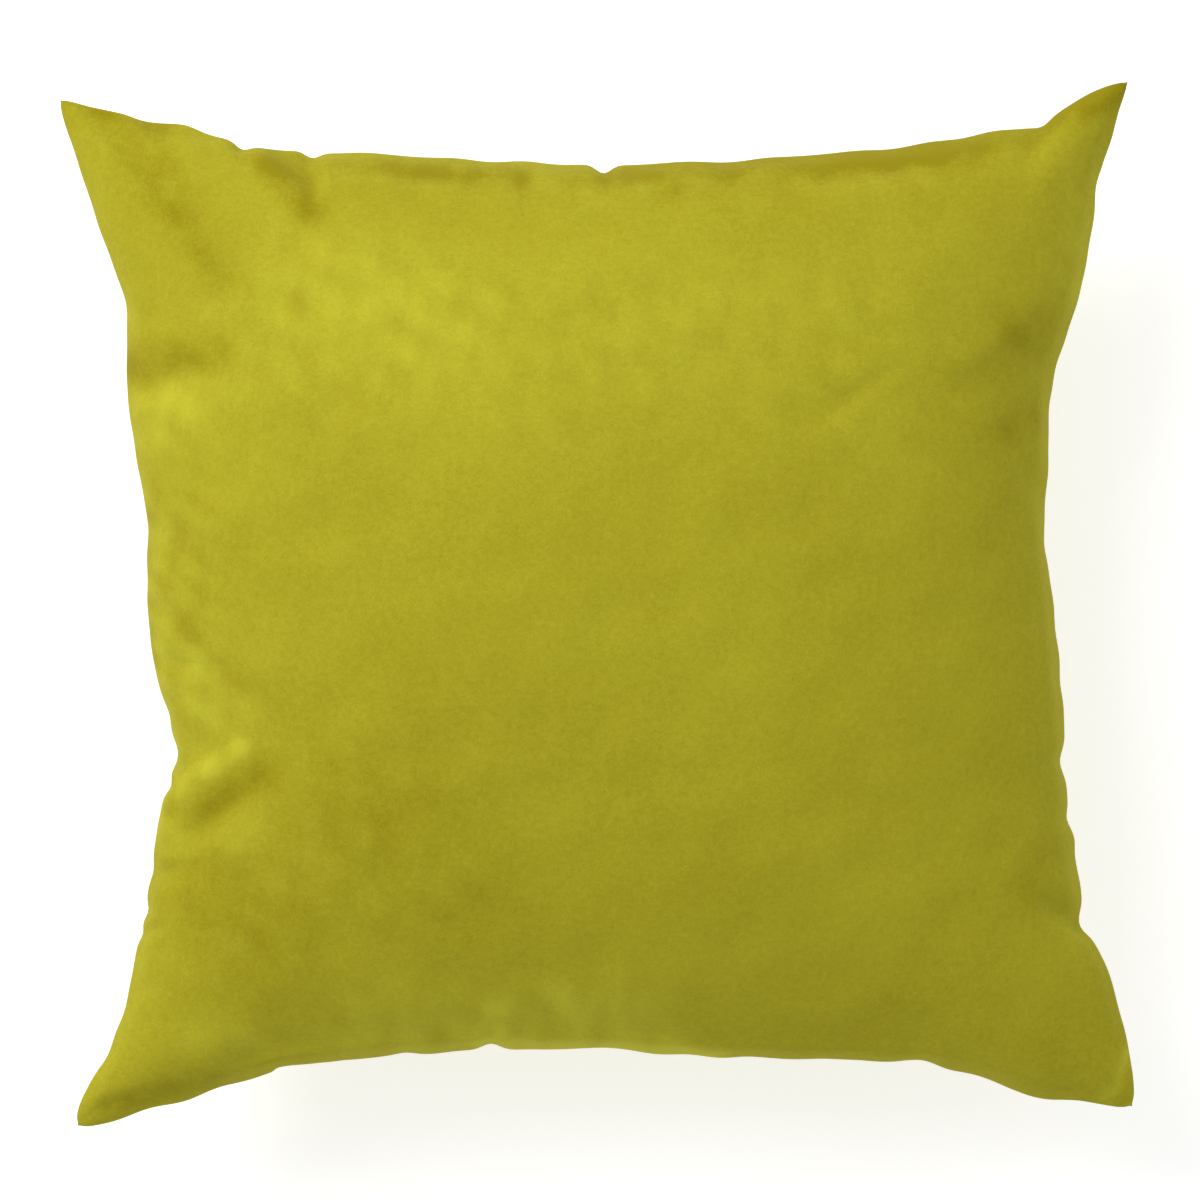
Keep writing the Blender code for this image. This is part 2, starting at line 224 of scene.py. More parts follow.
def normals_of(grid):
    """The way each point of a grid faces, as unit vectors."""
    across = np.gradient(grid, axis=0)
    up = np.gradient(grid, axis=1)
    n = np.cross(across, up)
    return n / np.linalg.norm(n, axis=2, keepdims=True).clip(1e-9)


# Puckers, where the sewn line is taken up: x, y, how far in, and how wide. Minus stands out.
PUCKERS = (
    (-182, 196, 0.9, 6), (-165, 192, -2.0, 8), (-142, 183, 3.4, 4), (-123, 182, 0.6, 6),
    (-114, 180, 3.4, 4), (3, 176, 3.4, 4), (60, 177, 0.6, 10), (114, 179, 0.6, 10), (179, 193, 1.2, 4),
    (202, 168, 0.9, 6), (183, 23, 0.8, 7), (184, -33, 0.8, 7), (190, -63, 2.2, 6), (191, -86, 1.2, 4),
    (191, -95, -0.6, 4), (184, 2, -0.6, 9), (193, -129, 4.0, 6), (131, -183, 1.2, 8),
    (90, -183, 0.8, 9), (58, -181, 0.8, 8), (-42, -178, 2.8, 5), (-76, -180, 0.8, 5),
    (-200, -180, 1.2, 9), (-192, -160, 1.0, 9), (-184, -132, 1.0, 3), (-181, -123, 1.6, 4),
    (-177, -107, 1.6, 5), (-171, -73, 2.4, 4), (-171, -60, 1.8, 6), (-172, -44, 0.5, 5),
    (-186, 34, 0.8, 12), (-192, 120, 1.0, 8),
)
# Folds of each panel: from, to, depth, width to its left and to its right, width at its end, and how
# far its shoulders rise. A minus depth is a ridge.
FRONT_FOLDS = (
    (-114, 182, -109, 153, 5.5, 4, 14, 3, 0.45),
    (-138, 182, -114, 158, -1.8, 5, 5, 4, 0.2),
    (-142, 184, -136, 172, 2.0, 4, 4, 4, 0.5),
    (-200, 199, -147, 135, 3.2, 5, 6, 11, 0.4),
    (-174, 193, -168, 170, 1.6, 4, 6, 5, 0.5),
    (3, 178, 7, 161, 3.0, 3, 5, 4, 0.7),
    (18, 168, 30, 161, 1.6, 4, 5, 5, 0.5),
    (-86, 172, -30, 166, 1.6, 6, 5, 6, 0.3),
    (96, 170, 152, 178, 1.8, 6, 5, 6, 0.3),
    (-194, 84, -142, 93, 4.0, 11, 7, 9, 0.6),
    (-182, 4, -156, -9, 1.6, 5, 5, 4, 0.5),
    (-180, -22, -134, -28, 2.2, 5, 6, 6, 0.6),
    (-176, -42, -136, -42, -1.6, 5, 5, 6, 0.2),
    (-172, -80, -134, -52, -3.4, 5, 5, 4, 0.2),
    (-156, -88, -118, -58, 3.8, 7, 7, 8, 0.5),
    (-178, -88, -150, -92, -2.0, 6, 6, 6, 0.3),
    (-180, -108, -142, -100, 2.0, 4, 6, 7, 0.6),
    (-184, -132, -170, -127, 2.6, 3, 3, 3, 0.7),
    (-192, -160, -170, -146, 1.2, 4, 5, 5, 0.5),
    (-200, -204, -146, -188, 1.8, 5, 5, 6, 0.5),
    (-42, -180, -41, -160, 2.4, 4, 4, 4, 0.7),
    (-34, -180, -26, -164, 1.6, 3, 4, 4, 0.6),
    (131, -185, 118, -168, 1.2, 5, 5, 6, 0.5),
    (194, -127, 170, -115, 3.6, 5, 6, 7, 0.5),
    (191, -86, 176, -84, 1.6, 3, 4, 5, 0.6),
    (190, -63, 172, -66, 1.8, 5, 5, 6, 0.5),
    (184, 92, 150, 108, 2.0, 6, 6, 8, 0.5),
    (158, 104, 128, 84, -1.2, 6, 6, 7, 0.2),
    (98, 79, 127, 100, 1.0, 5, 5, 6, 0.4),
    (182, 40, 160, 64, 1.6, 6, 6, 8, 0.5),
    (202, 168, 186, 160, 1.2, 4, 4, 6, 0.6),
    (180, 194, 166, 170, 2.0, 5, 5, 7, 0.5),
    (206, -196, 216, -172, 1.0, 2.5, 2.5, 2.5, 0.8),
)
BACK_FOLDS = (
    (-114, 182, -118, 148, 3.6, 5, 6, 5, 0.6),
    (-142, 184, -132, 158, 1.8, 4, 4, 5, 0.5),
    (3, 178, -5, 148, 2.8, 4, 4, 6, 0.6),
    (92, 178, 84, 156, 1.8, 5, 5, 6, 0.6),
    (-192, 84, -148, 68, 3.2, 7, 8, 9, 0.6),
    (-184, 12, -150, 14, 2.0, 5, 5, 7, 0.6),
    (-171, -73, -126, -60, 3.6, 5, 6, 8, 0.6),
    (-184, -132, -158, -128, 1.8, 4, 4, 5, 0.6),
    (-42, -180, -32, -150, 2.0, 4, 4, 5, 0.6),
    (72, -180, 64, -152, 1.8, 4, 5, 6, 0.6),
    (193, -127, 158, -130, 3.2, 5, 6, 8, 0.6),
    (190, -63, 160, -56, 1.8, 5, 5, 7, 0.6),
    (184, 92, 148, 82, 2.2, 6, 6, 8, 0.6),
    (184, 22, 156, 26, 1.4, 5, 5, 7, 0.6),
    (200, 180, 158, 138, 2.4, 5, 5, 10, 0.4),
    (-200, 192, -148, 148, 2.2, 5, 5, 10, 0.4),
    (200, -190, 158, -148, 2.2, 5, 5, 10, 0.4),
    (-196, -190, -156, -150, 2.2, 5, 5, 10, 0.4),
)
# Painted shade and painted highlight on the front, standing for the shade and light of its fold flanks and
# broad slopes: from, to, width, and how dark. Minus is a painted highlight.
PAINTED_SHADE_MARKS = (
    (-132, 180, -112, 155, 7, 0.9), (-184, 180, -146, 128, 8, 0.6), (-172, 190, -166, 172, 5, 0.3),
    (-187, 96, -150, 98, 9, 0.8), (-84, 173, -30, 168, 5, 0.6), (96, 173, 152, 180, 6, 0.6),
    (8, 172, 30, 163, 5, 0.5), (-150, -78, -130, -66, 8, 0.7), (-148, -26, -134, -30, 5, 0.5),
    (-160, -8, -157, -12, 5, 0.5), (166, 108, 186, 112, 9, 0.5), (162, 68, 170, 74, 7, 0.4),
    (168, -112, 178, -96, 8, 0.3), (-196, -200, -150, -190, 5, 0.4), (-120, 140, -60, 110, 26, -0.3),
    (-172, 72, -160, 80, 9, -0.5), (-164, -75, -138, -56, 4, -0.9), (-142, -94, -131, -86, 5, -0.5),
    (-160, 175, -125, 150, 8, -0.1), (-205, 200, -174, 191, 4, 0.5), (-163, -19, -151, -28, 5, -0.5),
    (-174, -90, -166, -94, 6, -0.5), (-42, -174, -39, -161, 5, -1.0), (-160, -44, -134, -42, 5, -0.4),
    (186, 198, 208, 208, 8, 0.5), (182, 112, 198, 168, 12, -0.35), (204, -197, 213, -180, 3, -0.6),
    (-36, -177, 50, -180, 4, -0.9), (-16, -156, -4, -158, 6, -0.45), (-120, -60, -60, -120, 34, 0.2),
    (-160, -172, 30, -174, 9, -0.4), (-150, -130, -40, -60, 40, 0.12), (-100, 158, 130, 162, 24, 0.24),
    (-140, 100, 100, 104, 42, -0.32), (-152, -30, -138, -72, 22, -0.3),
    (-146, -114, -132, -126, 22, 0.3), (-90, -156, 12, -156, 15, -0.4),
    (-146, 158, -132, 150, 14, 0.25),
)


FOLD_START = 12  # how far a fold fades out behind its start


def fold_depth(x, y, folds):
    """How far the folds push the cloth in, in mm."""
    total = np.zeros_like(x)
    for x0, y0, x1, y1, depth, wide_left, wide_right, wide_end, shoulder in folds:
        length = math.hypot(x1 - x0, y1 - y0)
        ax, ay = (x1 - x0) / length, (y1 - y0) / length
        s = ((x - x0) * ax + (y - y0) * ay) / length
        side = (x - x0) * -ay + (y - y0) * ax
        share = s.clip(0, 1)
        wide = np.where(side > 0, wide_left, wide_right)
        q = side / (wide + (wide_end - wide) * share)
        fade = np.where(s < 0, np.exp(-((s * length / FOLD_START) ** 2)), (1 - share**2) ** 1.5)
        total += depth * fade * (1 - shoulder * q**2) * np.exp(-(q**2))
    return total


def painted_shade_of(x, y, marks):
    """How much painted shade the marks lay on the pile, below 0 for painted highlight, 0 where there is none.
    """
    total = np.zeros_like(x)
    for x0, y0, x1, y1, wide, dark in marks:
        length = math.hypot(x1 - x0, y1 - y0)
        s = ((x - x0) * (x1 - x0) + (y - y0) * (y1 - y0)) / length**2
        near_x, near_y = x0 + (x1 - x0) * s.clip(0, 1), y0 + (y1 - y0) * s.clip(0, 1)
        total += dark * np.exp(-((x - near_x) ** 2 + (y - near_y) ** 2) / wide**2)
    return total


def lumps(x, y, seed, reach, count):
    """Slow unevenness, such as the filling's: a sum of a few seeded waves, about -1 to 1."""
    rng = np.random.default_rng(seed)
    total = np.zeros_like(x)
    for _ in range(count):
        turn, shift = rng.uniform(0, 2 * math.pi, 2)
        pitch = reach * rng.uniform(0.7, 1.5)
        total += np.sin((x * math.cos(turn) + y * math.sin(turn)) * 2 * math.pi / pitch + shift)
    return total / math.sqrt(count)


# The fine grid has its rows closer together along the seam, at shares of the panel's width
FINE_STEPS, FIRST_STEP = 240, 0.0115
near_edge = np.array([0, 0.0012, 0.0026, 0.0042, 0.0062, 0.0086])
spaced = np.linspace(FIRST_STEP, 1 - FIRST_STEP, FINE_STEPS)
FINE = np.concatenate([near_edge, spaced, 1 - near_edge[::-1]])
HALF_THICK = 76.2  # from the seam to the top of the filled cover
LIP = 1.1  # each panel rolls this far over the seam
SEAM_REACH = 5  # how far in from the seam its puckers reach
ZIP_HALF, ZIP_Y = 134.0, -182.1  # half the length of the opening in the bottom seam, and its line
ZIP_FADE = 16  # past its ends the opening closes over this length
BOTTOM = -150  # what has a y below this lies at the bottom seam
# At the zip the front panel's edge stands proud and hides it, and the back panel's edge is set in
FRONT_LIP, BACK_LIP, BACK_SET_IN = 5.2, 1.3, 4.2
# How far each tip is rounded back, and over what reach
BLUNT = {"tl": (0.9, 2.6), "tr": (0.9, 2.6), "br": (1.7, 3.8), "bl": (1.2, 3.2)}
TIP_REACH = 16  # the lips thin out this near a tip
# The pull tab swings up to 145 degrees. Its pin lies this far in from the zip's line, its flat side then
# faces this way, the panel keeps this far off it, and gives way this softly.
PIN_IN, TAB_LEAN, TAB_ROOM, TAB_SOFT = 2.0, (0.819, 0.574), 0.75, 0.4
TAB_RUN, TAB_RUN_FADE = 130, 9
# The filling's weight flattens the underside where it rests: how deep, and how softly it turns up
REST_DEPTH, REST_SOFT = 4.0, 2.5
# Seen from their ends, the groove of the plain seam and the pocket of the zip: in from the line, and
# above the seam
GROOVE = (
    (0.3, 0.6), (0.9, 0.33), (1.7, 0.24), (2.4, 0.1),
    (2.4, -0.1), (1.7, -0.24), (0.9, -0.33), (0.3, -0.6),
)
POCKET = (
    (3.8, 1.5), (6.6, 0.7), (11.9, 9.9), (13.2, 9.9),
    (13.2, -9.9), (11.9, -9.9), (6.6, -0.7), (4.8, -0.7),
)
POCKET_MOUTH = 5  # the pocket's first points follow the seam where it bends in


def at_zip(x):
    """1 along the zip, falling to 0 where the plain seam takes over."""
    t = ((ZIP_HALF + ZIP_FADE - np.abs(x)) / ZIP_FADE).clip(0, 1)
    return t * t * (3 - 2 * t)


def softly_over(value, soft):
    """The value where it is above 0, and 0 where it is below, rounded at the turn."""
    return soft * np.log1p(np.exp(value / soft))


base = filled_cover()
panels = []
four_edges = np.broadcast_arrays(FINE[:, None], 1 - FINE[:, None], FINE[None], 1 - FINE[None])
from_edge = np.minimum.reduce(four_edges) * FLAT
from_bottom = np.broadcast_to(FINE[None], from_edge.shape) * FLAT
seam_near = np.exp(-((from_edge / SEAM_REACH) ** 2))
for sign, grid, folds, seed in ((1, base[0], FRONT_FOLDS, 4), (-1, base[1], BACK_FOLDS, 9)):
    fine = resample(grid, FINE)
    fine[..., 2] *= HALF_THICK / np.abs(fine[..., 2]).max()
    out = normals_of(fine) * sign
    x, y = fine[..., 0], fine[..., 1]
    nips = 0.3 * lumps(x, y, 3, 24, 8)
    for px, py, deep, wide in PUCKERS:
        nips += deep * np.exp(-((x - px) ** 2 + (y - py) ** 2) / wide**2)
    pressed = fold_depth(x, y, folds) * (1 - seam_near) + nips * seam_near
    level = out * (1, 1, 0)
    level /= np.linalg.norm(level, axis=2, keepdims=True).clip(1e-9)
    push = out * (1 - seam_near[..., None]) + level * seam_near[..., None]
    inner = (from_edge / 30).clip(0, 1) ** 2
    swell = 0.6 * lumps(x, y, seed, 90, 7) * inner + 0.25 * lumps(x, y, seed + 1, 30, 9) * inner
    fine += push * (swell - pressed)[..., None]
    tip_share = np.zeros_like(from_edge)
    for name, corner in CORNERS.items():
        away = np.hypot(fine[..., 0] - corner[0], fine[..., 1] - corner[1])
        blunt, reach = BLUNT[name]
        outward = np.array(corner) / math.hypot(*corner)
        fine[..., :2] -= outward * (blunt * np.exp(-((away / reach) ** 2)))[..., None]
        tip_share += np.exp(-((away / TIP_REACH) ** 2))
    zip_share = at_zip(fine[..., 0]) * np.exp(-((from_bottom / 40) ** 2))
    zip_lip = FRONT_LIP if sign > 0 else BACK_LIP
    proud = LIP * (1 - 0.45 * tip_share.clip(0, 1)) + (zip_lip - LIP) * zip_share
    fine[..., 2] += sign * proud * np.exp(-((from_edge / (4 + 5 * zip_share)) ** 2)) + SEAM_Z
    if sign > 0:
        ahead, above = fine[..., 1] - ZIP_Y - PIN_IN, fine[..., 2] - SEAM_Z
        short = (TAB_ROOM - ahead * TAB_LEAN[0] - above * TAB_LEAN[1]) / TAB_LEAN[0]
        tab_run = ((TAB_RUN - np.abs(fine[..., 0])) / TAB_RUN_FADE).clip(0, 1) * (fine[..., 1] < BOTTOM)
        fine[..., 1] += softly_over(short.clip(-12, 12), TAB_SOFT) * tab_run
    else:
        set_back = fine[:, :1, 1] - ZIP_Y
        set_in = np.maximum(BACK_SET_IN, set_back + 0.4) - set_back
        fine[..., 1] += set_in * zip_share * np.exp(-((from_bottom / 12) ** 2))
        under = softly_over(fine[..., 2] - fine[..., 2].min() - REST_DEPTH, REST_SOFT)
        fine[..., 2] = under - under.min()
    panels.append(fine)

count = len(FINE)
ids = np.arange(count * count).reshape(count, count)
last = count - 1
ring = [(k, 0) for k in range(last)] + [(last, k) for k in range(last)]
ring += [(last - k, last) for k in range(last)] + [(0, last - k) for k in range(last)]
front_ids = [int(ids[c]) for c in ring]
seam = panels[0][tuple(np.array(ring).T)][:, :2]  # the sewn line, all the way round
along = np.roll(seam, -3, 0) - np.roll(seam, 3, 0)
inward = np.stack([-along[:, 1], along[:, 0]], 1) / np.hypot(*along.T)[:, None]
opening = (at_zip(seam[:, 0]) * (seam[:, 1] < BOTTOM))[:, None]


def seam_row(groove, pocket):
    """Points round the seam: in the groove, and where the zip is, in its pocket."""
    plain = np.column_stack([seam + inward * groove[0], np.full(len(seam), groove[1])])
    depth = np.full(len(seam), pocket[0])
    if pocket[0] < POCKET_MOUTH:
        depth = np.maximum(depth, seam[:, 1] - ZIP_Y + pocket[0] / 6)
    zipped = np.column_stack([seam[:, 0], ZIP_Y + depth, np.full(len(seam), pocket[1])])
    return plain * (1 - opening) + zipped * opening + (0, 0, SEAM_Z)


points = np.concatenate([panels[0].reshape(-1, 3), panels[1].reshape(-1, 3)])
faces = []
for first, turned in ((0, False), (count * count, True)):
    faces += cells_of(ids + first, turned)
rows = [front_ids]
for groove, pocket in zip(GROOVE, POCKET):
    rows.append(list(range(len(points), len(points) + len(ring))))
    points = np.concatenate([points, seam_row(groove, pocket)])
rows.append([i + count * count for i in front_ids])
for low, high in zip(rows, rows[1:]):
    for k in range(len(ring)):
        m = (k + 1) % len(ring)
        faces.append([low[m], low[k], high[k], high[m]])
cover = object_from("velvet_cover", points, faces)

# Painted light and shade for the velvet's colour: a mottle of painted shade and highlight by the left side, a
# painted shade strip under the top edge, most of all on the right half, and painted shade and highlight of
# the folds and slopes elsewhere. The underside is left even.
x, y, z = points.T
# A painted mottle of shade and highlight by the left side
painted_mottle = lumps(x, y, 21, 13, 12) * np.exp(-(((x + 172) / 22) ** 2)) * np.exp(-((y / 75) ** 2))
# Painted shade in a ragged strip under the top edge, darker on the right half
below_top = (panels[0][:, -1:, 1] - panels[0][..., 1]).ravel()
strip_x = panels[0][..., 0].ravel()
ragged = 10 + 2.5 * lumps(strip_x, below_top, 51, 22, 9)
right_half = 1 / (1 + np.exp(-(strip_x - 5) / 12))
painted_shade_under_top = (0.25 + 0.45 * right_half) * np.exp(-((below_top / ragged) ** 4))
painted_shade_under_top = np.concatenate([painted_shade_under_top, np.zeros(len(points) - len(painted_shade_under_top))])
patchy = 1 + 0.35 * lumps(x, y, 31, 14, 10)
# Painted light and shade on the top panel only: above 0 is painted shade, below 0 is painted highlight
painted_light_and_shade = (painted_shade_under_top + painted_shade_of(x, y, PAINTED_SHADE_MARKS) * patchy + 0.35 * painted_mottle) * (z > SEAM_Z)
cover.data.attributes.new("painted_light_and_shade", "FLOAT", "POINT").data.foreach_set("value", painted_light_and_shade)
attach(cover, "pillow")
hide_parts("front_panel", "back_panel")


def linear(code):
    """A colour written as sRGB hex, as linear light."""
    out = []
    for k in (0, 2, 4):
        c = int(code[k : k + 2], 16) / 255
        out.append(c / 12.92 if c <= 0.04045 else ((c + 0.055) / 1.055) ** 2.4)
    return (*out, 1)


def new_material(name):
    """A new material that uses nodes, and its shader node."""
    mat = bpy.data.materials.new(name)
    mat.use_nodes = True
    return mat, mat.node_tree.nodes["Principled BSDF"]


def add(mat, kind, settings=(), values=(), links=()):
    """Adds a node.

    It takes its settings, its socket values, and its links as (its socket, node, that node's socket).
    """
    node = mat.node_tree.nodes.new(kind)
    for key, value in dict(settings).items():
        setattr(node, key, value)
    for key, value in dict(values).items():
        socket_named(node, key).default_value = value
    for key, source, out in links:
        join(mat, node, key, source, out)
    return node


def socket_named(node, key):
    """The live input of that name or number. A Mix node has one of each name for every kind it can mix."""
    if isinstance(key, int):
        return node.inputs[key]
    return [s for s in node.inputs if s.name == key and s.enabled][0]


def join(mat, node, socket, source, out):
    """Links one node's output of that name to another's socket."""
    output = [s for s in source.outputs if s.name == out and s.enabled][0]
    mat.node_tree.links.new(output, socket_named(node, socket))


# Short-pile polyester velvet: dull, with a sheen where the pile is seen from its side, and with painted shade
# and painted highlight mixed into its colour from the attribute painted on the cover. A noise has 1000 / its
# scale in
# mm to one cell: the dye drifts over 62.5 mm, the tufts show at 2.6 mm, and the pile at 0.77 mm, drawn
# coarser than its 0.1 mm strands.
velvet, shader = new_material("velvet")
place = add(velvet, "ShaderNodeTexCoord")
at_place = [("Vector", place, "Object")]
drift = add(velvet, "ShaderNodeTexNoise", values={"Scale": 16, "Detail": 5, "Roughness": 0.6}, links=at_place)
pile = {"Scale": 1300, "Detail": 3, "Roughness": 0.65}
pile = add(velvet, "ShaderNodeTexNoise", values=pile, links=at_place)
tufts = {"Scale": 380, "Detail": 3, "Roughness": 0.6}
tufts = add(velvet, "ShaderNodeTexNoise", values=tufts, links=at_place)
# Reads the painted shade and highlight laid on the cover
painted_shading = add(velvet, "ShaderNodeAttribute", {"attribute_name": "painted_light_and_shade"})
tones = []
for noise, middle, strength in ((drift, 0.15, 0.065), (pile, 0.2, 0.15), (tufts, 0.2, 0.09)):
    reach = {"From Min": 0.5 - middle, "From Max": 0.5 + middle, "To Min": -strength, "To Max": strength}
    tones.append(add(velvet, "ShaderNodeMapRange", values=reach, links=[("Value", noise, "Fac")]))
both = add(velvet, "ShaderNodeMath", links=[(0, tones[0], "Result"), (1, tones[1], "Result")])
grain = add(velvet, "ShaderNodeMath", links=[(0, both, "Value"), (1, tones[2], "Result")])
lit_share = add(velvet, "ShaderNodeMath", {"operation": "MULTIPLY_ADD"}, {1: -0.5, 2: 0.5}, [(0, painted_shading, "Fac")])
mixed = add(velvet, "ShaderNodeMath", {"use_clamp": True}, links=[(0, grain, "Value"), (1, lit_share, "Value")])
# The darker tone is the velvet in painted shade and the lighter one the velvet lit. The painted light and
# shade pulls the colour between them, and the noise grain there is the velvet's own.
shade_and_light_tones = {"A": linear("95880e"), "B": linear("c2bd32")}
grain_and_painted_light = add(velvet, "ShaderNodeMix", {"data_type": "RGBA"}, shade_and_light_tones, [("Factor", mixed, "Value")])
join(velvet, shader, "Base Color", grain_and_painted_light, "Result")
shader.inputs["Roughness"].default_value = 0.95
shader.inputs["Specular IOR Level"].default_value = 0.1
shader.inputs["Sheen Weight"].default_value = 0.14
shader.inputs["Sheen Roughness"].default_value = 0.5
shader.inputs["Sheen Tint"].default_value = linear("d2d350")
nap = {"Strength": 0.3, "Distance": 0.4 * MM}
nap = add(velvet, "ShaderNodeBump", values=nap, links=[("Height", pile, "Fac")])
join(velvet, shader, "Normal", nap, "Normal")
cover.data.materials.append(velvet)


# Seam stitching: a lockstitch in polyester thread at the bottom of the groove, one stitch every 3 mm.
# It runs round the plain seam and stops at each end of the zip.
STITCH, THREAD = 3.0, 0.16  # the length of a stitch, and the thread's radius


def tube(name, rings, closed=False):
    """A closed skin over rings of points, in mm."""
    n, m = rings.shape[:2]
    made = []
    for k in range(n if closed else n - 1):
        here, there = k * m, (k + 1) % n * m
        made += [[here + j, there + j, there + (j + 1) % m, here + (j + 1) % m] for j in range(m)]
    if not closed:
        made += [list(range(m)), list(range((n - 1) * m, n * m))[::-1]]
    obj = object_from(name, rings.reshape(-1, 3), made)
    work = bmesh.new()
    work.from_mesh(obj.data)
    bmesh.ops.recalc_face_normals(work, faces=work.faces)
    work.to_mesh(obj.data)
    work.free()
    return obj


def thread(name, line, radius, sides=5):
    """A thread along a line of points in mm."""
    step = np.gradient(line, axis=0)
    step /= np.linalg.norm(step, axis=1, keepdims=True).clip(1e-9)
    side = np.cross(step, (0.31, 0.52, 0.79))
    side /= np.linalg.norm(side, axis=1, keepdims=True)
    over = np.cross(side, step)
    turn = np.linspace(0, 2 * math.pi, sides, endpoint=False)[None, :, None]
    around = np.cos(turn) * side[:, None] + np.sin(turn) * over[:, None]
    return tube(name, line[:, None] + radius * around)


def even_run(line, pitch):
    """The line read at even steps of about that pitch."""
    run = np.concatenate([[0], np.cumsum(np.linalg.norm(np.diff(line[:, :2], axis=0), axis=1))])
    at = np.linspace(0, run[-1], max(3, int(run[-1] / pitch)))
    return np.stack([np.interp(at, run, line[:, k]) for k in range(line.shape[1])], 1)


def beside(run, pattern):
    """Carries a repeating pattern of (in from the seam, above it), in mm, along the run."""
    w, z = np.array([pattern[k % len(pattern)] for k in range(len(run))]).T
    return np.column_stack([run[:, :2] + run[:, 2:] * w[:, None], SEAM_Z + z])


def settle(obj, body, slot, mat, *nodes):
    """The piece rides its body, stands for its CAD nodes and takes its finish."""
    if obj.get("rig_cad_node") is None:
        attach(obj, body)
        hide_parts(*nodes)
    obj.data.materials.clear()
    obj.data.materials.append(mat)
    return obj


def joined(name, parts):
    """Several meshes as one object."""
    mesh = bmesh.new()
    for part in parts:
        mesh.from_mesh(part.data)
        bpy.data.objects.remove(part)
    obj = object_from(name, [], [])
    mesh.to_mesh(obj.data)
    mesh.free()
    return obj


def twisted_thread(name, colour, dull):
    """A thread of twisted plies, 0.45 mm to a turn: a wave has 314 / its scale in mm to one band."""
    mat, shader = new_material(name)
    place = add(mat, "ShaderNodeTexCoord")
    at_place = [("Vector", place, "Object")]
    ply = add(mat, "ShaderNodeTexWave", {"bands_direction": "DIAGONAL"}, {"Scale": 700}, at_place)
    shader.inputs["Base Color"].default_value = linear(colour)
    shader.inputs["Roughness"].default_value = dull
    twist = {"Strength": 0.4, "Distance": 0.1 * MM}
    twist = add(mat, "ShaderNodeBump", values=twist, links=[("Height", ply, "Fac")])
    join(mat, shader, "Normal", twist, "Normal")
    return mat


# Polyester sewing thread, dyed to match: a little shine along each ply
sewing = twisted_thread("sewing_thread", "a89a2a", 0.5)

plain = opening[:, 0] < 0.3
start = int(np.argmax(plain & ~np.roll(plain, 1)))
order = np.roll(np.arange(len(seam)), -start)[: int(plain.sum())]
turned = inward.copy()
for corner in CORNERS.values():
    away = np.hypot(*(seam - corner).T)[:, None]
    share = np.exp(-((away / 30) ** 2))
    turned = turned * (1 - share) - np.array(corner) / math.hypot(*corner) * share
turned /= np.hypot(*turned.T)[:, None]
seam_run = np.column_stack([seam[order], turned[order]])
up_and_down = beside(even_run(seam_run, STITCH / 2), [(2.0, 0.12), (2.0, -0.12)])
stitches = thread("seam_stitches", up_and_down, THREAD, 4)
seam_threads = ["seam_thread_" + side for side in ("top", "left", "right", "bottom_left", "bottom_right")]
settle(stitches, "pillow", "sewing_thread", sewing, *seam_threads)


# Seam allowances and overlocking: inside the seam the two raw edges lie together, 11 mm deep, and a
# three-thread overlock wraps them every 2.5 mm. At the zip each panel's edge folds back and is
# overlocked alone.
ply_edge = [(2.8, 0.5), (11.0, 0.5), (11.0, -0.5), (2.8, -0.5)]
run = even_run(seam_run, 4)
allowance = tube("seam_allowance", np.stack([beside(run, [corner]) for corner in ply_edge], 1))
settle(allowance, "pillow", "velvet", velvet)
wraps = beside(even_run(seam_run, 0.62), [(7.8, 0.68), (11.3, 0.3), (11.3, -0.3), (7.8, -0.68)])
overlock = [thread("overlock", wraps, 0.14, 4)]
SEWN_HALF = 129  # half the length that is sewn along the zip
steps = np.linspace(-SEWN_HALF, SEWN_HALF, 417)
straight = np.column_stack([steps, np.full_like(steps, ZIP_Y), np.zeros_like(steps), np.ones_like(steps)])
for sign in (1, -1):
    wraps = ((12.6, 10.6 * sign), (14.0, 13.6 * sign), (14.6, 13.2 * sign), (13.6, 10.2 * sign))
    overlock.append(thread("overlock", beside(straight, wraps), 0.14, 4))
overlock = joined("overlock", overlock)
overlocked = ["overlock_" + side for side in ("top", "left", "right", "zip_front", "zip_back")]
settle(overlock, "pillow", "sewing_thread", sewing, *overlocked)


# Zip tapes: two woven polyester tapes, 260 mm long, 10 mm wide and 0.4 mm thick. Each is sewn flat
# behind a folded edge of the cover with a zigzag of the same thread, before the other seams are closed.
TAPE_HALF = 130


def leaning(n, t, sign):
    """A place on the slope behind each folded edge: n mm off the cloth, t mm up it.

    Returns how far in it is from the zip's line, and how far above the seam.
    """
    return 4 + 0.866 * n + 0.5 * t, sign * (-0.5 * n + 0.866 * t)


# Woven tape: fine ribs across it, matt. The ribs are 0.9 mm and 0.63 mm apart, drawn coarser than the
# real yarns, which would not show.
woven, shader = new_material("zip_tape")
place = add(woven, "ShaderNodeTexCoord")
at_place = [("Vector", place, "Object")]
warp = add(woven, "ShaderNodeTexWave", {"bands_direction": "X"}, {"Scale": 350}, at_place)
weft = add(woven, "ShaderNodeTexWave", {"bands_direction": "Z"}, {"Scale": 500}, at_place)
cross = add(woven, "ShaderNodeMath", {"operation": "MULTIPLY"}, links=[(0, warp, "Fac"), (1, weft, "Fac")])
shade = add(woven, "ShaderNodeValToRGB", links=[("Fac", cross, "Value")])
for stop, colour in zip(shade.color_ramp.elements, ("6f681c", "948a2a")):
    stop.color = linear(colour)
join(woven, shader, "Base Color", shade, "Color")
shader.inputs["Roughness"].default_value = 0.8
ribs = {"Strength": 0.5, "Distance": 0.1 * MM}
ribs = add(woven, "ShaderNodeBump", values=ribs, links=[("Height", cross, "Value")])
join(woven, shader, "Normal", ribs, "Normal")

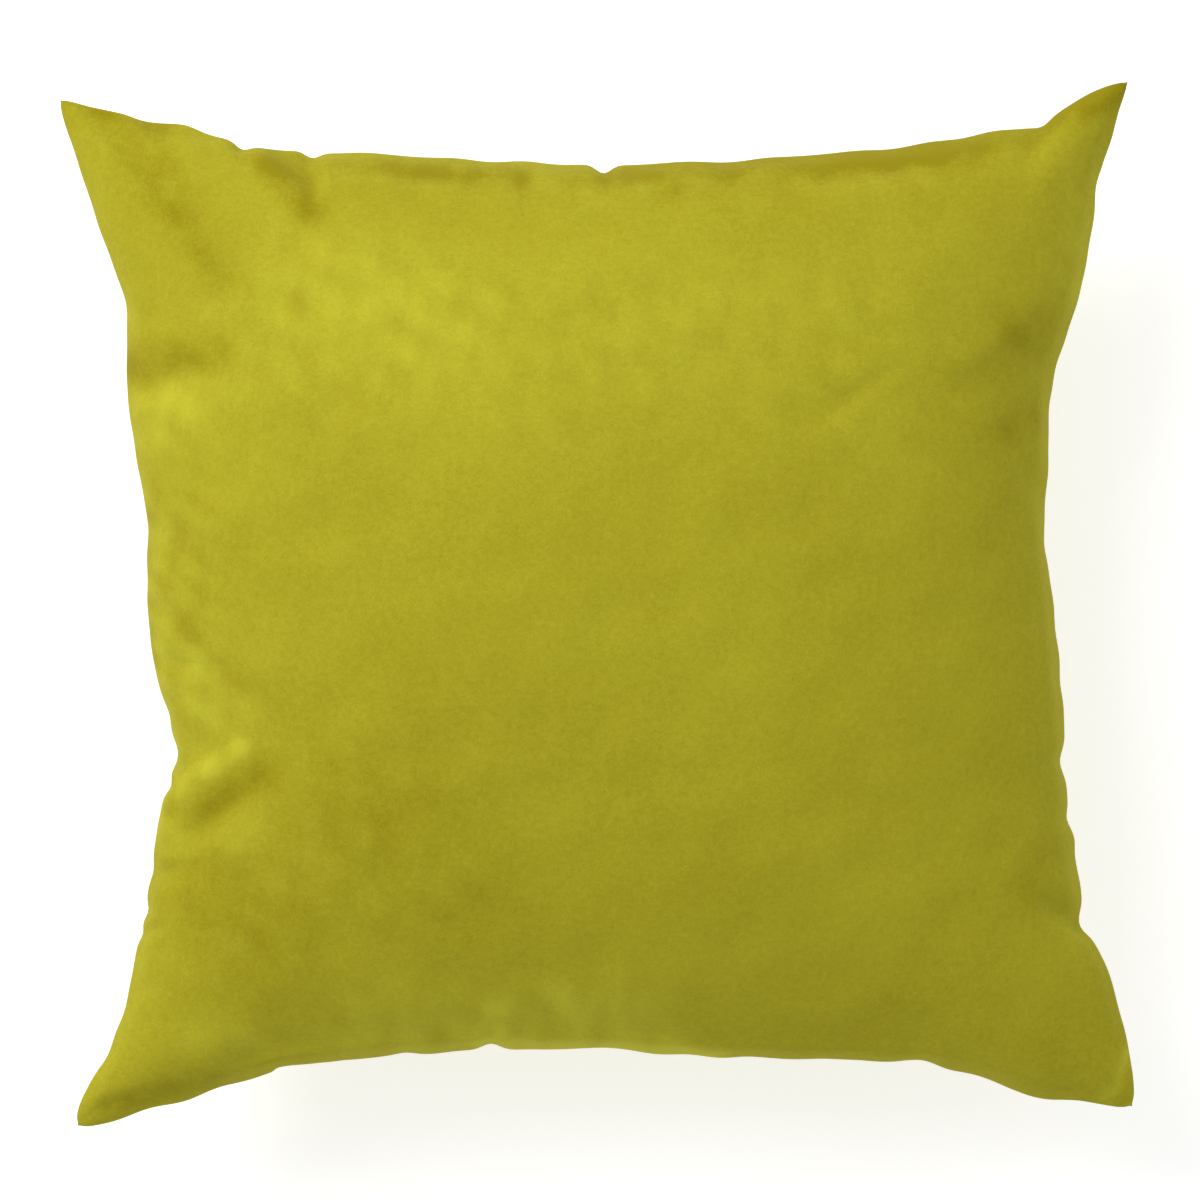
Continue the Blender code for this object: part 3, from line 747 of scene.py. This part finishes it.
for side, sign in (("front", 1), ("back", -1)):
    across = [leaning(n, t, sign) for n, t in ((2.5, 2.5), (2.9, 2.5), (2.9, 12.5), (2.5, 12.5))]
    xs = np.linspace(-TAPE_HALF, TAPE_HALF, 131)
    even = np.ones_like(xs)
    rings = [np.column_stack([xs, even * (ZIP_Y + w), even * (SEAM_Z + z)]) for w, z in across]
    tape = tube("woven_tape_" + side, np.stack(rings, 1))
    tape.data.polygons.foreach_set("use_smooth", [False] * len(tape.data.polygons))
    settle(tape, "pillow", "zip_tape", woven, "zip_tape_" + side)
    xs = np.linspace(-SEWN_HALF, SEWN_HALF, 173)
    wave = np.array([leaning(2.2 if k % 2 else 3.1, 6.5, sign) for k in range(len(xs))])
    zigzag = np.column_stack([xs, ZIP_Y + wave[:, 0], SEAM_Z + wave[:, 1]])
    sewn = thread("zip_stitches_" + side, zigzag, 0.15, 4)
    settle(sewn, "pillow", "sewing_thread", sewing, "zip_thread_" + side)


# Zip chain: two coils wound from nylon monofilament, 1.4 mm to a turn. One is sewn along each tape, and
# with the zip shut they mesh half a turn apart.
PITCH, TURN_STEPS = 1.4, 12  # the length of one turn, and the points that draw it
CHAIN_START, CHAIN_LENGTH, CHAIN_END = -123.5, 247, 123.8
# Nylon: glossier than the cloth. Its drawing marks are 0.67 mm apart, coarser than the real ones.
nylon, shader = new_material("zip_coil")
shader.inputs["Base Color"].default_value = linear("857b28")
shader.inputs["Roughness"].default_value = 0.38
shader.inputs["IOR"].default_value = 1.53
place = add(nylon, "ShaderNodeTexCoord")
at_place = [("Vector", place, "Object")]
drawn = add(nylon, "ShaderNodeTexNoise", values={"Scale": 1500, "Detail": 1}, links=at_place)
marks = {"Strength": 0.1, "Distance": 0.05 * MM}
marks = add(nylon, "ShaderNodeBump", values=marks, links=[("Height", drawn, "Fac")])
join(nylon, shader, "Normal", marks, "Normal")
for side, sign in (("front", 1), ("back", -1)):
    a = np.arange(0, int(CHAIN_LENGTH / PITCH) * TURN_STEPS + 1) * 2 * math.pi / TURN_STEPS
    xs = CHAIN_START + a / (2 * math.pi) * PITCH + (PITCH / 2 if sign < 0 else 0)
    ys = ZIP_Y + 10.15 + 0.75 * np.cos(a)
    zs = SEAM_Z + sign * (1.45 + 0.95 * np.sin(a))
    coil = thread("wound_coil_" + side, np.column_stack([xs, ys, zs])[xs < CHAIN_END], 0.24, 5)
    settle(coil, "pillow", "zip_coil", nylon, "zip_coil_" + side)


# Zip slider, pull tab and stops: die-cast zinc, nickel plated, with tumbled edges. The tab hangs by a pin
# through its two ears, and a stop closes each end of the chain.
TAB_X = -117.025  # the slider's middle with the zip shut
TAB_HALF, TAB_END = 2.5, -17.5  # half the tab's width, and where its round end starts below the pin
TAB_HALF_THICK = 0.38
EAR_IN, EAR_OUT, EAR_STEPS = 0.78, 1.38, 24  # the radii of the ears' rings, and their steps
# Nickel plate: a soft mirror, duller in patches of 1.7 mm where tumbling has worn it
nickel, shader = new_material("zip_metal")
shader.inputs["Base Color"].default_value = linear("c9c5bb")
shader.inputs["Metallic"].default_value = 1
place = add(nickel, "ShaderNodeTexCoord")
at_place = [("Vector", place, "Object")]
tumbled = add(nickel, "ShaderNodeTexNoise", values={"Scale": 600, "Detail": 3}, links=at_place)
dull = {"To Min": 0.22, "To Max": 0.38}
dull = add(nickel, "ShaderNodeMapRange", values=dull, links=[("Value", tumbled, "Fac")])
join(nickel, shader, "Roughness", dull, "Result")


def tumble(obj, width, segments):
    """Rounds the piece's edges off by that width, in mm."""
    edge = obj.modifiers.new("tumbled_edges", "BEVEL")
    edge.width, edge.segments, edge.limit_method = width * MM, segments, "ANGLE"


for name in ("zip_slider", "zip_top_stop_front", "zip_top_stop_back", "zip_bottom_stop"):
    obj = frame["nodes"][name]
    tumble(obj, 0.18, 2)
    settle(obj, None, "zip_metal", nickel)

turns = np.linspace(0, math.pi / 2, 9)[:-1]
half_outline = [(1.1, -2.6), (1.4, -1.0), (2.0, -0.9), (2.1, -3.0), (TAB_HALF, -6.0)]
half_outline += [(TAB_HALF * math.cos(a), TAB_END - TAB_HALF * math.sin(a)) for a in turns]
rim = half_outline + [(-x, z) for x, z in half_outline[::-1]]
plate = []
for x, z in rim:
    for y in (-TAB_HALF_THICK, TAB_HALF_THICK):
        plate.append((TAB_X + x, ZIP_Y + PIN_IN + y, SEAM_Z + z))
n = len(rim)
made = [[2 * k, 2 * ((k + 1) % n), 2 * ((k + 1) % n) + 1, 2 * k + 1] for k in range(n)]
made += [list(range(0, 2 * n, 2)), list(range(1, 2 * n, 2))[::-1]]
plate = object_from("plate", plate, made)
around = np.linspace(0, 2 * math.pi, EAR_STEPS, endpoint=False)
ears = []
for low, high in ((-TAB_HALF, -1.35), (1.35, TAB_HALF)):
    rings = []
    for x, r in ((low, EAR_IN), (high, EAR_IN), (high, EAR_OUT), (low, EAR_OUT)):
        ys, zs = ZIP_Y + PIN_IN + r * np.cos(around), SEAM_Z + r * np.sin(around)
        rings.append(np.column_stack([np.full_like(ys, TAB_X + x), ys, zs]))
    ears.append(tube("ear", np.stack(rings, 1), closed=True))
tab = joined("zip_pull_tab_cast", [plate, *ears])
tab.data.polygons.foreach_set("use_smooth", [False] * len(tab.data.polygons))
tumble(tab, 0.15, 3)
settle(tab, "pull_tab", "zip_metal", nickel, "zip_pull_tab")


# Inner pad: a white non-woven case of two panels, sewn shut all round and a little smaller than the cover.
# It lies loose in the cover, pushed back from the zip.
PAD_BACK = 5.5  # the pad sits this far back from the zip
PAD_ACROSS, PAD_UP, PAD_LIFT = 0.885, 0.955, 1.4  # its shares of the cover, and its clearance below


def closed_form(name, across, up, lift, rough=0.0):
    """A smaller copy of the filled shape.

    It takes its share across, its share of the thickness, its clearance below and its lumps, in mm.
    """
    shells = []
    for sign, grid in ((1, base[0]), (-1, base[1])):
        taller = up * HALF_THICK / np.abs(grid[..., 2]).max()
        shell = grid * (across, across, taller) + (0, PAD_BACK, 0)
        if rough:
            bumps = rough * lumps(shell[..., 0], shell[..., 1], 12, 34, 9)
            shell[..., 2] += bumps * (np.abs(shell[..., 2]) / 30).clip(0, 1)
        shell[..., 2] += SEAM_Z
        if sign < 0:
            under = softly_over(shell[..., 2] - shell[..., 2].min() - REST_DEPTH, REST_SOFT)
            shell[..., 2] = (under - under.min()) * (SEAM_Z - lift) / SEAM_Z + lift
        shells.append(shell)
    n = len(base[0])
    number = np.arange(n * n).reshape(n, n)
    below = number + n * n
    below[[0, -1]], below[:, [0, -1]] = number[[0, -1]], number[:, [0, -1]]
    shells[0][[0, -1], :, 2] = shells[0][:, [0, -1], 2] = SEAM_Z
    made = []
    for quads, turned in ((number, False), (below, True)):
        made += cells_of(quads, turned)
    made = [face for face in made if len(set(face)) == 4]
    obj = object_from(name, np.concatenate([shell.reshape(-1, 3) for shell in shells]), made)
    work = bmesh.new()
    work.from_mesh(obj.data)
    bmesh.ops.delete(work, geom=[v for v in work.verts if not v.link_faces], context="VERTS")
    work.to_mesh(obj.data)
    work.free()
    return obj


# Spunbond case: white, thin, with the small dots its fibres are bonded at, 1.1 mm apart
spunbond, shader = new_material("pad_case")
place = add(spunbond, "ShaderNodeTexCoord")
at_place = [("Vector", place, "Object")]
dots = add(spunbond, "ShaderNodeTexVoronoi", values={"Scale": 900, "Randomness": 0.2}, links=at_place)
shader.inputs["Base Color"].default_value = linear("ecebe6")
shader.inputs["Roughness"].default_value = 0.75
bonds = {"Strength": 0.5, "Distance": 0.2 * MM}
bonds = add(spunbond, "ShaderNodeBump", values=bonds, links=[("Height", dots, "Distance")])
join(spunbond, shader, "Normal", bonds, "Normal")
pad = closed_form("inner_pad", PAD_ACROSS, PAD_UP, PAD_LIFT)
settle(pad, "pillow", "pad_case", spunbond, "pad_front", "pad_back")

# White cotton-wrapped thread, over the pad's edge: duller than the cover's polyester
pad_sewing = twisted_thread("pad_thread", "f2f1ec", 0.7)
rim = [base[0][:, 0], base[0][-1, 1:], base[0][-2::-1, -1], base[0][0, -2::-1]]
edge_line = np.concatenate(rim)[:, :2] * PAD_ACROSS + (0, PAD_BACK)
step = np.gradient(edge_line, axis=0)
inside = np.stack([-step[:, 1], step[:, 0]], 1) / np.hypot(*step.T)[:, None]
pad_run = even_run(np.column_stack([edge_line, inside]), 1.25)
sewn = thread("pad_stitches", beside(pad_run, [(-0.2, 0.5), (-0.2, -0.5)]), THREAD, 4)
settle(sewn, "pillow", "pad_thread", pad_sewing, "pad_seam_thread")


# Filling: loose hollow polyester fibre, in soft clumps the size of a walnut, blown into the pad's case.
# White and fluffy: the clumps of strands show at 6.25 mm, far coarser than a single strand.
fibre, shader = new_material("fibre")
place = add(fibre, "ShaderNodeTexCoord")
fluffy = {"Scale": 160, "Detail": 8, "Roughness": 0.7, "Distortion": 1.5}
strands = add(fibre, "ShaderNodeTexNoise", values=fluffy, links=[("Vector", place, "Object")])
shader.inputs["Base Color"].default_value = linear("f4f4f1")
shader.inputs["Roughness"].default_value = 0.85
fluff = {"Strength": 0.9, "Distance": 2 * MM}
fluff = add(fibre, "ShaderNodeBump", values=fluff, links=[("Height", strands, "Fac")])
join(fibre, shader, "Normal", fluff, "Normal")
filling = closed_form("fibre_filling_lumps", 0.865, 0.915, 4.0, rough=0.8)
settle(filling, "pillow", "fibre", fibre, "fibre_filling")


# Floor, light and camera: a white studio sweep, a large soft key at the upper left with a weak fill at the
# right, and a straight-down view
scene = bpy.context.scene
FLOOR_HALF = 3000
corners = [(x * FLOOR_HALF, y * FLOOR_HALF, 0) for x, y in ((-1, -1), (1, -1), (1, 1), (-1, 1))]
floor = object_from("floor", corners, [[0, 1, 2, 3]])
paper, shader = new_material("floor_paper")
shader.inputs["Base Color"].default_value = (0.7, 0.7, 0.7, 1)
shader.inputs["Roughness"].default_value = 0.9
shader.inputs["Emission Color"].default_value = (1, 1, 1, 1)
shader.inputs["Emission Strength"].default_value = 0.6
floor.data.materials.append(paper)

world = bpy.data.worlds.new("studio")
world.use_nodes = True
sky = world.node_tree.nodes["Background"]
sky.inputs["Color"].default_value = (1, 1, 1, 1)
sky.inputs["Strength"].default_value = 0.45
scene.world = world
LIGHTS = (("key", (-1.05, 1.0, 1.45), 25, 1.0), ("fill", (1.1, 0.4, 1.5), 3, 1.6))  # place in m, W, size in m
LIT_POINT = Vector((0, 0, 0.07))
for name, spot, power, size in LIGHTS:
    lamp = bpy.data.lights.new(name, "AREA")
    lamp.energy, lamp.size = power, size
    light = bpy.data.objects.new(name, lamp)
    light.location = spot
    light.rotation_euler = (LIT_POINT - Vector(spot)).to_track_quat("-Z", "Y").to_euler()
    scene.collection.objects.link(light)

camera = bpy.data.objects.new("camera", bpy.data.cameras.new("camera"))
LENS, SENSOR, VIEW_WIDTH = 100, 36, 0.4824  # mm, mm, and what the view takes in at the seam, in m
camera.data.lens, camera.data.sensor_width = LENS, SENSOR
camera.location = (0.0016, 0.0016, SEAM_Z * MM + VIEW_WIDTH * LENS / SENSOR)
scene.collection.objects.link(camera)
scene.camera = camera
scene.view_settings.view_transform = "Standard"
